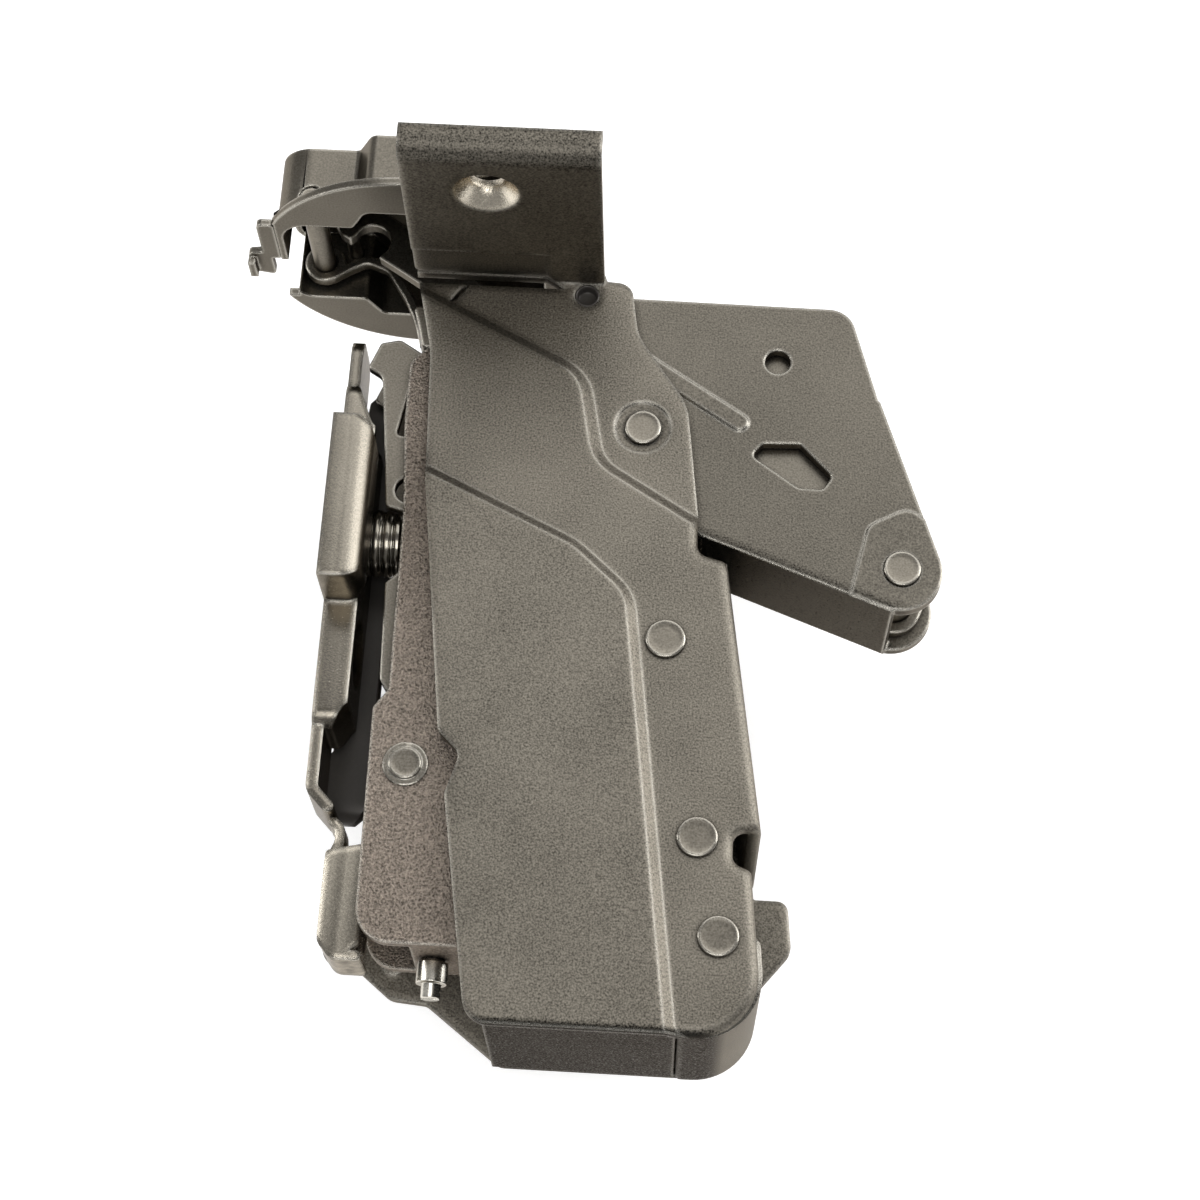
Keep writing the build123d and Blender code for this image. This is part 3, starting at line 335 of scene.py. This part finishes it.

# tone: factor on the nickel colour; smoother: taken from the sheet's roughness; grain: factor on its
# fineness; speckle and cloud: strength of the grain and of its slow patches; depth: height of its bump;
# edge: share of the bright colour on a sharp edge, as rubbed wear and painted highlight; soft: radius that
# evens out the facets of a bend; bend_shades: where the sheet is bent, with coarser grain and painted
# shade;
# polished_highlight: where it is punched, with a polish and a painted highlight; graze: tint of a
# reflection at a grazing angle; streak: strength of the drawn streaks
NICKELS = {
    "Satin nickel sheet": dict(speckle=2.4, cloud=0.6, depth=4e-5, edge=0.5, soft=0.0015,
                               bend_shades=HOUSING_BEND_SHADES, graze=0.62, polished_highlight=TAB_DIMPLE),
    "Folded link nickel": dict(tone=0.76, smoother=0.06, speckle=2.0, cloud=0.5, depth=3e-5, soft=0.0006,
                               bend_shades=LINK_BEND_SHADES),
    "Link nickel": dict(tone=0.95, smoother=0.10, speckle=1.4, cloud=0.5, depth=2e-5, soft=0.0005),
    "Cup nickel": dict(tone=0.80, smoother=0.12, speckle=1.2, cloud=0.7, depth=1.5e-5, soft=0.0004),
    "Coarse nickel": dict(tone=(1.28, 1.19, 1.19), smoother=0.06, grain=0.85, speckle=2.8, cloud=0.5,
                          depth=3.2e-4, soft=0.0004),
    "Cast nickel": dict(tone=1.2, smoother=0.22, speckle=0.8, cloud=0.6, depth=1e-5, soft=0.0012,
                        streak=0.9),
    "Latch nickel": dict(tone=2.1, smoother=0.20, speckle=0.8, cloud=0.4, depth=8e-6, soft=0.0012,
                         streak=2.0),
    "Bright nickel": dict(tone=1.1, smoother=0.13, speckle=1.2, cloud=0.5, depth=1e-5, soft=0.0003),
    "Dark screw": dict(tone=1.1, smoother=0.24, speckle=0.5, cloud=0.4, depth=6e-6),
    "Spring steel": dict(tone=0.6, smoother=0.11, speckle=0.4, cloud=0.3, depth=4e-6),
}
FINISH_OF_SLOT = {
    "satin_nickel": "Satin nickel sheet", "link_nickel": "Link nickel", "cup_nickel": "Cup nickel",
    "arm_nickel": "Coarse nickel", "plate_nickel": "Cast nickel", "bright_nickel": "Bright nickel",
    "screw_nickel": "Screw zinc", "spring_steel": "Spring steel", "damper_gray": "Damper plastic",
    "cam_white": "Cam plastic",
}
FINISH_OF_NODE = {
    "outer_link": "Folded link nickel", "clip_carrier": "Link nickel", "latch": "Latch nickel",
    "side_screw": "Dark screw",
}

BEND_GRAIN = 2.5          # how much coarser a full bend's speckle is
PUNCH_HIGHLIGHT = 3.0        # painted highlight that the punch adds to the tone
PUNCH_SMOOTH = 0.22       # what the punch takes from the roughness
RUB_SMOOTH = 0.2          # what rubbing takes from the roughness
HOLLOW_SHADE_LOSS = 0.85        # share of the tone lost to painted shade in a full hollow
DARKEST_TONE = 0.04
SOFT_SAMPLES = 6


def painted_bend_shade(tree, bend_shades):
    """The strongest strain of several bent places, each times the darkness of its painted shade, or None if
    none are given.
    """
    strain_and_shade = None
    for direction, start, full, dark in bend_shades:
        strain = placed(tree, "Bend strain", Direction=direction, Start=start, Full=full)
        amount = math_node(tree, "MULTIPLY", strain.outputs["Amount"], dark)
        strain_and_shade = amount if strain_and_shade is None else math_node(tree, "MAXIMUM", strain_and_shade, amount)
    return strain_and_shade


def plated(name, colour, bright, roughness, scale, speckle, cloud, depth, metallic=1.0, edge=0.8, soft=0.0,
           bend_shades=(), graze=0.6, streak=0.0, polished_highlight=None):
    """A plated metal, or a plastic where metallic is 0: its colour times the grain, with painted shade in
    hollows and at bends, a painted highlight in a punched dimple, a bright colour on sharp edges as rubbed
    wear and painted highlight, and a bump from the grain."""
    material = bpy.data.materials.new(name)
    material.use_nodes = True
    tree = material.node_tree
    shader = tree.nodes["Principled BSDF"]
    shader.inputs["Metallic"].default_value = metallic
    shader.inputs["Specular Tint"].default_value = (graze, graze * 0.95, graze * 0.9, 1.0)
    grain = placed(tree, "Plate grain", Scale=scale, Speckle=speckle, Cloud=cloud)
    wear_highlight_shade = placed(tree, "Rubbed edges")
    tone = grain.outputs["Shade"]
    # Painted shade at bends: the tone darkens where the mask rises, and the grain coarsens there
    if bend_shades:
        strain_and_shade = painted_bend_shade(tree, bend_shades)
        rougher = math_node(tree, "MULTIPLY", strain_and_shade, BEND_GRAIN * speckle)
        tree.links.new(math_node(tree, "ADD", rougher, speckle), grain.inputs["Speckle"])
        tone = math_node(tree, "MULTIPLY", tone, math_node(tree, "SUBTRACT", 1.0, strain_and_shade))
    if streak:
        streaks = placed(tree, "Draw streaks").outputs["Shade"]
        tone = math_node(tree, "ADD", tone, math_node(tree, "MULTIPLY", streaks, streak))
    polish = math_node(tree, "MULTIPLY", wear_highlight_shade.outputs["Edge"], RUB_SMOOTH)
    if polished_highlight:
        punched = placed(tree, "Punch polish", Centre=polished_highlight).outputs["Amount"]
        # Painted highlight: the punched dimple's tone is raised
        tone = math_node(tree, "ADD", tone, math_node(tree, "MULTIPLY", punched, PUNCH_HIGHLIGHT))
        polish = math_node(tree, "ADD", polish, math_node(tree, "MULTIPLY", punched, PUNCH_SMOOTH))
    # Painted shade: hollows and gaps darkened by ambient occlusion
    hollow_shade = math_node(tree, "MULTIPLY", wear_highlight_shade.outputs["Hollow"], HOLLOW_SHADE_LOSS)
    tone = math_node(tree, "MULTIPLY", tone, math_node(tree, "SUBTRACT", 1.0, hollow_shade))
    shade = vector_node(tree, "SCALE", tuple(colour), None)
    tree.links.new(math_node(tree, "MAXIMUM", tone, DARKEST_TONE), shade.inputs["Scale"])
    mix = tree.nodes.new("ShaderNodeMix")
    mix.data_type = "RGBA"
    # Sharp edges take the bright colour: rubbed wear and painted highlight
    tree.links.new(math_node(tree, "MULTIPLY", wear_highlight_shade.outputs["Edge"], edge), mix.inputs[0])
    tree.links.new(shade.outputs[0], mix.inputs[6])
    mix.inputs[7].default_value = (*bright, 1.0)
    tree.links.new(mix.outputs[2], shader.inputs["Base Color"])
    uneven = math_node(tree, "ADD", grain.outputs["Roughness"], roughness)
    tree.links.new(math_node(tree, "SUBTRACT", uneven, polish, clamp=True), shader.inputs["Roughness"])
    bump = tree.nodes.new("ShaderNodeBump")
    bump.inputs["Distance"].default_value = depth
    bump.inputs["Strength"].default_value = 1.0
    tree.links.new(grain.outputs["Height"], bump.inputs["Height"])
    tree.links.new(bump.outputs["Normal"], shader.inputs["Normal"])
    if soft:
        rounded = tree.nodes.new("ShaderNodeBevel")
        rounded.samples = SOFT_SAMPLES
        rounded.inputs["Radius"].default_value = soft
        tree.links.new(rounded.outputs["Normal"], bump.inputs["Normal"])


# ---- operators -------------------------------------------------------------------------


class HINGE_OT_finishes(Operator):
    """Builds the finishes and gives each frame node its own"""

    bl_idname = "hinge.finishes"
    bl_label = "Finishes"

    def execute(self, context):
        finish = context.scene.hinge_finish
        grain_group()
        edge_wear_and_shade_group()
        strain_and_shade_group()
        streak_group()
        polish_and_highlight_group()
        bright, gray, white = finish.nickel_bright[:], finish.damper_gray[:], finish.cam_white[:]
        scale = 1.0 / finish.grain_size
        for name, look in NICKELS.items():
            look = dict(look)
            colour = np.array(finish.nickel) * look.pop("tone", 1.0)
            roughness = finish.sheet_roughness - look.pop("smoother", 0.0)
            plated(name, colour.tolist(), bright, roughness, scale * look.pop("grain", 1.0), **look)
        plated("Screw zinc", bright, bright, 0.28, scale, speckle=0.4, cloud=0.3, depth=4e-6)
        plated("Damper plastic", gray, [c * 2 for c in gray], 0.45, scale * 0.7, speckle=0.3, cloud=0.2,
               depth=8e-6, metallic=0.0, edge=0.3, graze=1.0)
        plated("Cam plastic", white, white, 0.4, scale, speckle=0.1, cloud=0.1, depth=4e-6, metallic=0.0,
               edge=0.0, graze=1.0)
        for row in frame["record"]["subparts"]:
            chosen = FINISH_OF_NODE.get(row["node"], FINISH_OF_SLOT[row["material_slot"]])
            mesh = frame["nodes"][row["node"]].data
            mesh.materials.clear()
            mesh.materials.append(bpy.data.materials[chosen])
        return {"FINISHED"}


# Sheets whose narrow steps would cross if their edges were rounded without a limit
TIGHT_NODES = ("housing_plate", "cup_clip", "mounting_plate", "latch")
SAME_PLACE = 1e-6
FLAT_ANGLE = math.radians(0.5)
EDGE_ANGLE = math.radians(32)


class HINGE_OT_soft_edges(Operator):
    """Rounds the punched edges of the frame's sheet pieces"""

    bl_idname = "hinge.soft_edges"
    bl_label = "Soft edges"

    def execute(self, context):
        width = context.scene.hinge_forms.edge_round
        for name, node in frame["nodes"].items():
            if node.hide_render or name == "closing_spring":  # a round wire has no punched edges
                continue
            weld = node.modifiers.new("Weld", "WELD")
            weld.merge_threshold = SAME_PLACE
            flat = node.modifiers.new("Flat faces", "DECIMATE")
            flat.decimate_type = "DISSOLVE"
            flat.angle_limit = FLAT_ANGLE
            bevel = node.modifiers.new("Edge", "BEVEL")
            bevel.width = width
            bevel.segments = 2
            bevel.limit_method = "ANGLE"
            bevel.angle_limit = EDGE_ANGLE
            bevel.use_clamp_overlap = name in TIGHT_NODES
            bevel.face_strength_mode = "FSTR_ALL"
            node.data.shade_smooth()
            normals = node.modifiers.new("Normals", "WEIGHTED_NORMAL")
            normals.use_face_influence = True
        return {"FINISHED"}


def new_piece(name, verts, faces, node, material):
    """A smooth piece at the origin, from verts in mm, that rides with a frame node."""
    mesh = bpy.data.meshes.new(name)
    mesh.from_pydata((verts * MM).tolist(), [], faces)
    mesh.shade_smooth()
    mesh.materials.append(bpy.data.materials[material])
    piece = bpy.data.objects.new(name, mesh)
    bpy.context.scene.collection.objects.link(piece)
    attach(piece, body_of(frame["nodes"][node])[0])
    return piece


def ring_quads(rings, points):
    """Faces between each closed ring of points and the next, in a grid of rings."""
    ring, point = np.meshgrid(np.arange(rings - 1), np.arange(points), indexing="ij")
    here, after = ring * points, (point + 1) % points
    beyond = here + points
    quads = [here + point, beyond + point, beyond + after, here + after]
    return np.stack(quads, axis=-1).reshape(-1, 4).tolist()


def turned(name, profile, axis, node, material, steps=72):
    """A closed turned piece in mm: x and y are the axis plus a profile's radius times the cosine and sine
    of the angle, and z is the profile's height. The profile runs down, and its two ends are on the axis."""
    radius, height = np.array(profile[1:-1]).T
    angle = np.linspace(0.0, 2.0 * np.pi, steps, endpoint=False)
    x = axis[0] + np.outer(radius, np.cos(angle))
    y = axis[1] + np.outer(radius, np.sin(angle))
    z = np.broadcast_to(height[:, None], x.shape)
    ends = [[*axis, profile[0][1]], [*axis, profile[-1][1]]]
    verts = np.vstack([np.stack([x, y, z], axis=-1).reshape(-1, 3), ends])
    count = len(radius) * steps
    first, last = np.arange(steps), np.arange(count - steps, count)
    faces = ring_quads(len(radius), steps)
    faces += [(count, a, b) for a, b in zip(first.tolist(), np.roll(first, -1).tolist())]
    faces += [(count + 1, b, a) for a, b in zip(last.tolist(), np.roll(last, -1).tolist())]
    return new_piece(name, verts, faces, node, material)


HEAD_RADIUS = {
    "frame_rivet_1": 2.4, "frame_rivet_2": 2.4, "frame_rivet_3": 2.4, "elbow_rivet": 2.25,
    "pivot_rivet": 2.25, "arm_pin": 1.95,
}
# A head's rolled rim in mm: steps from its radius outwards and from the rivet's end upwards
HEAD_FLAT, HEAD_BASE = 0.02, -0.32
HEAD_RIM = ((-0.42, 0.025), (-0.30, 0.06), (-0.16, 0.08), (-0.04, 0.05), (0.05, -0.02), (0.06, HEAD_BASE),
            (-0.5, HEAD_BASE))


class HINGE_OT_rivet_heads(Operator):
    """Turned heads with a rolled rim over the frame's plain rivet ends"""

    bl_idname = "hinge.rivet_heads"
    bl_label = "Rivet heads"

    def execute(self, context):
        for node, radius in HEAD_RADIUS.items():
            low, high = (np.array(corner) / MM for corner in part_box(node))
            x, y = np.round((low + high)[:2] / 2, 1)
            top = round(high[2], 2)
            rim = [(radius + out, top + up) for out, up in HEAD_RIM]
            profile = [(0, top + HEAD_FLAT), (radius * 0.55, top + HEAD_FLAT), *rim, (0, top + HEAD_BASE)]
            turned(node + "_head", profile, (x, y), node, "Bright nickel")
        return {"FINISHED"}


# A dark cup in the hole by the tab's foot, as painted shade
HOLE_SHADE_PLUG_AXIS = (30.2, 32.4)
HOLE_SHADE_PLUG = ((0, 6.2), (1.05, 6.2), (1.22, 6.3), (1.26, 7.2), (1.36, 7.46), (1.5, 7.5), (1.59, 7.42),
            (1.6, 7.2), (1.6, 6.1), (1.3, 6.0), (0, 6.0))


class HINGE_OT_hole_shade_plug(Operator):
    """Small dark cup in the hole by the tab's foot: painted shade that darkens the hole"""

    bl_idname = "hinge.hole_cup"
    bl_label = "Hole shade plug"

    def execute(self, context):
        turned("hole_cup", HOLE_SHADE_PLUG, HOLE_SHADE_PLUG_AXIS, "housing_plate", "Damper plastic")
        return {"FINISHED"}


# The dark strip of painted shade in the seat's gap, in mm: its ends along y, the step of its foot, and
# where its section is centred
SHADE_STRIP_ENDS = (-36.0, 23.5)
SHADE_STRIP_STEP = -27.6
SHADE_STRIP_FOOT = (0.35, 1.5)
SHADE_STRIP_CENTRE = -7.25
SHADE_STRIP_CORNER = 0.25
SHADE_STRIP_WIDTH = 5.0


def rounded_section(width, height, corner, points=5):
    """A rectangle with quarter-circle corners round the origin: each quarter's centre plus its circle."""
    turn = np.linspace(0.0, np.pi / 2, points) + np.arange(4)[:, None] * np.pi / 2
    centre = np.array([[1, 1], [-1, 1], [-1, -1], [1, -1]]) * [width / 2 - corner, height / 2 - corner]
    arcs = np.stack([np.cos(turn), np.sin(turn)], axis=-1) * corner
    return (centre[:, None] + arcs).reshape(-1, 2)


class HINGE_OT_gap_shade_strip(Operator):
    """Dark strip beside the mounting plate's rail: painted shade filling the gap where shade falls"""

    bl_idname = "hinge.seat_liner"
    bl_label = "Gap shade strip"

    def execute(self, context):
        # A rounded section is carried along y, stretched in x from its foot to its reach. At both ends it
        # shrinks to half: its size is a half plus half the root of one less the 24th power of the distance
        # from the middle.
        forms = context.scene.hinge_forms
        reach = forms.shade_strip_reach / MM
        section = rounded_section(SHADE_STRIP_WIDTH, forms.shade_strip_height / MM, SHADE_STRIP_CORNER)
        places = np.linspace(0.0, 1.0, 40)
        size = 0.5 + 0.5 * np.sqrt(np.clip(1.0 - np.abs(2.0 * places - 1.0) ** 24, 0.0, 1.0))
        along = SHADE_STRIP_ENDS[0] + (SHADE_STRIP_ENDS[1] - SHADE_STRIP_ENDS[0]) * places
        foot = np.where(along < SHADE_STRIP_STEP, *SHADE_STRIP_FOOT)[:, None]
        x = foot + (reach - foot) * (0.5 + np.outer(size, section[:, 0]) / SHADE_STRIP_WIDTH)
        z = SHADE_STRIP_CENTRE + np.outer(size, section[:, 1])
        y = np.broadcast_to(along[:, None], x.shape)
        rings, points = x.shape
        faces = ring_quads(rings, points)
        faces += [list(range(points)), list(range(rings * points - 1, (rings - 1) * points - 1, -1))]
        verts = np.stack([x, y, z], axis=-1).reshape(-1, 3)
        new_piece("seat_liner", verts, faces, "mounting_plate", "Damper plastic")
        return {"FINISHED"}


# ---- studio ----------------------------------------------------------------------------


def lamp(name, power, size, place, aim):
    """A rectangular lamp at a place, turned to face its aim."""
    light = bpy.data.lights.new(name, "AREA")
    light.shape, light.energy = "RECTANGLE", power
    light.size, light.size_y = size
    holder = bpy.data.objects.new(name, light)
    bpy.context.scene.collection.objects.link(holder)
    holder.location = place
    holder.rotation_mode = "QUATERNION"
    holder.rotation_quaternion = (Vector(aim) - Vector(place)).to_track_quat("-Z", "Y")


# Lamps: name, setting of the power, width and length, place, and aim, in metres
LAMPS = (
    ("Key", "key_power", (1.2, 0.9), (0.20, 0.60, 0.62), (0.03, 0, 0)),
    ("Front", "front_power", (0.5, 0.4), (0.03, -0.36, 0.85), (0.03, 0, 0)),
    ("Rim", "rim_power", (0.15, 0.5), (-0.50, 0.10, 0.26), (0.02, -0.01, 0)),
    ("Fill", "fill_power", (0.30, 0.5), (0.55, 0.16, 0.22), (0.04, -0.01, 0)),
)
FLOOR_REACH = 3.0         # half of the floor's side
FLOOR_GAP = 0.0004        # floor below the hinge's lowest point
# The camera's place, and the directions of its right side, its top and its back
CAMERA_PLACE = (0.04576, -0.12947, 0.30468)
CAMERA_RIGHT = (0.99812, 0.05957, -0.01426)
CAMERA_UP = (-0.04991, 0.92591, 0.37442)
CAMERA_BACK = (0.03551, -0.37301, 0.92715)
LENS, SENSOR = 78.0, 36.0


class HINGE_OT_studio(Operator):
    """Floor, lamps, world and camera"""

    bl_idname = "hinge.studio"
    bl_label = "Studio"

    def execute(self, context):
        studio = context.scene.hinge_studio
        scene = context.scene
        low = min(CAD_BOX[0].z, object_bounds()[0].z) - FLOOR_GAP
        corners = np.array([[-1, -1], [1, -1], [1, 1], [-1, 1]]) * FLOOR_REACH
        verts = np.column_stack([corners, np.full(4, low)])
        mesh = bpy.data.meshes.new("Floor")
        mesh.from_pydata(verts.tolist(), [], [(0, 1, 2, 3)])
        floor = bpy.data.objects.new("Floor", mesh)
        scene.collection.objects.link(floor)
        material = bpy.data.materials.new("Floor")
        material.use_nodes = True
        tree = material.node_tree
        shader = tree.nodes["Principled BSDF"]
        shader.inputs["Base Color"].default_value = (*studio.floor_colour, 1)
        shader.inputs["Roughness"].default_value = 0.9
        shader.inputs["Emission Color"].default_value = (1, 1, 1, 1)
        path = tree.nodes.new("ShaderNodeLightPath")
        seen = math_node(tree, "MAXIMUM", path.outputs["Is Camera Ray"], path.outputs["Is Glossy Ray"])
        seen = math_node(tree, "MAXIMUM", seen, path.outputs["Is Transmission Ray"])
        lift = math_node(tree, "MULTIPLY", seen, studio.floor_lift)
        tree.links.new(lift, shader.inputs["Emission Strength"])
        mesh.materials.append(material)
        floor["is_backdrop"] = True

        world = bpy.data.worlds.new("Studio")
        scene.world = world
        world.use_nodes = True
        background = world.node_tree.nodes["Background"]
        background.inputs["Color"].default_value = (1, 1, 1, 1)
        background.inputs["Strength"].default_value = studio.world_level

        for name, power, size, place, aim in LAMPS:
            lamp(name, getattr(studio, power), size, place, aim)

        camera_data = bpy.data.cameras.new("Camera")
        camera = bpy.data.objects.new("Camera", camera_data)
        scene.collection.objects.link(camera)
        axes = Matrix([CAMERA_RIGHT, CAMERA_UP, CAMERA_BACK]).transposed()
        camera.matrix_world = Matrix.Translation(CAMERA_PLACE) @ axes.to_4x4()
        camera_data.lens, camera_data.sensor_width = LENS, SENSOR
        camera_data.clip_start, camera_data.clip_end = 0.01, 10.0
        scene.camera = camera
        scene.view_settings.view_transform = "Standard"
        return {"FINISHED"}


# ---- panel and steps -------------------------------------------------------------------


class HINGE_PT_panel(Panel):
    """Lists the hinge's settings and steps"""

    bl_label = "Cup hinge"
    bl_space_type = "VIEW_3D"
    bl_region_type = "UI"
    bl_category = "Hinge"

    def draw(self, context):
        for settings in (context.scene.hinge_finish, context.scene.hinge_forms, context.scene.hinge_studio):
            box = self.layout.box()
            for key in settings.bl_rna.properties.keys():
                if key not in ("rna_type", "name"):
                    box.prop(settings, key)
        for step in STEPS:
            self.layout.operator(step.bl_idname)


STEPS = (HINGE_OT_finishes, HINGE_OT_soft_edges, HINGE_OT_rivet_heads, HINGE_OT_hole_shade_plug,
         HINGE_OT_gap_shade_strip, HINGE_OT_studio)
CLASSES = (HingeFinish, HingeForms, HingeStudio, *STEPS, HINGE_PT_panel)


def register():
    for cls in CLASSES:
        bpy.utils.register_class(cls)
    bpy.types.Scene.hinge_finish = PointerProperty(type=HingeFinish)
    bpy.types.Scene.hinge_forms = PointerProperty(type=HingeForms)
    bpy.types.Scene.hinge_studio = PointerProperty(type=HingeStudio)


def unregister():
    del bpy.types.Scene.hinge_studio
    del bpy.types.Scene.hinge_forms
    del bpy.types.Scene.hinge_finish
    for cls in reversed(CLASSES):
        bpy.utils.unregister_class(cls)


def main():
    """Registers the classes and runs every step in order."""
    register()
    bpy.ops.hinge.finishes()
    bpy.ops.hinge.soft_edges()
    bpy.ops.hinge.rivet_heads()
    bpy.ops.hinge.hole_cup()
    bpy.ops.hinge.seat_liner()
    bpy.ops.hinge.studio()


if __name__ == "__main__":
    main()
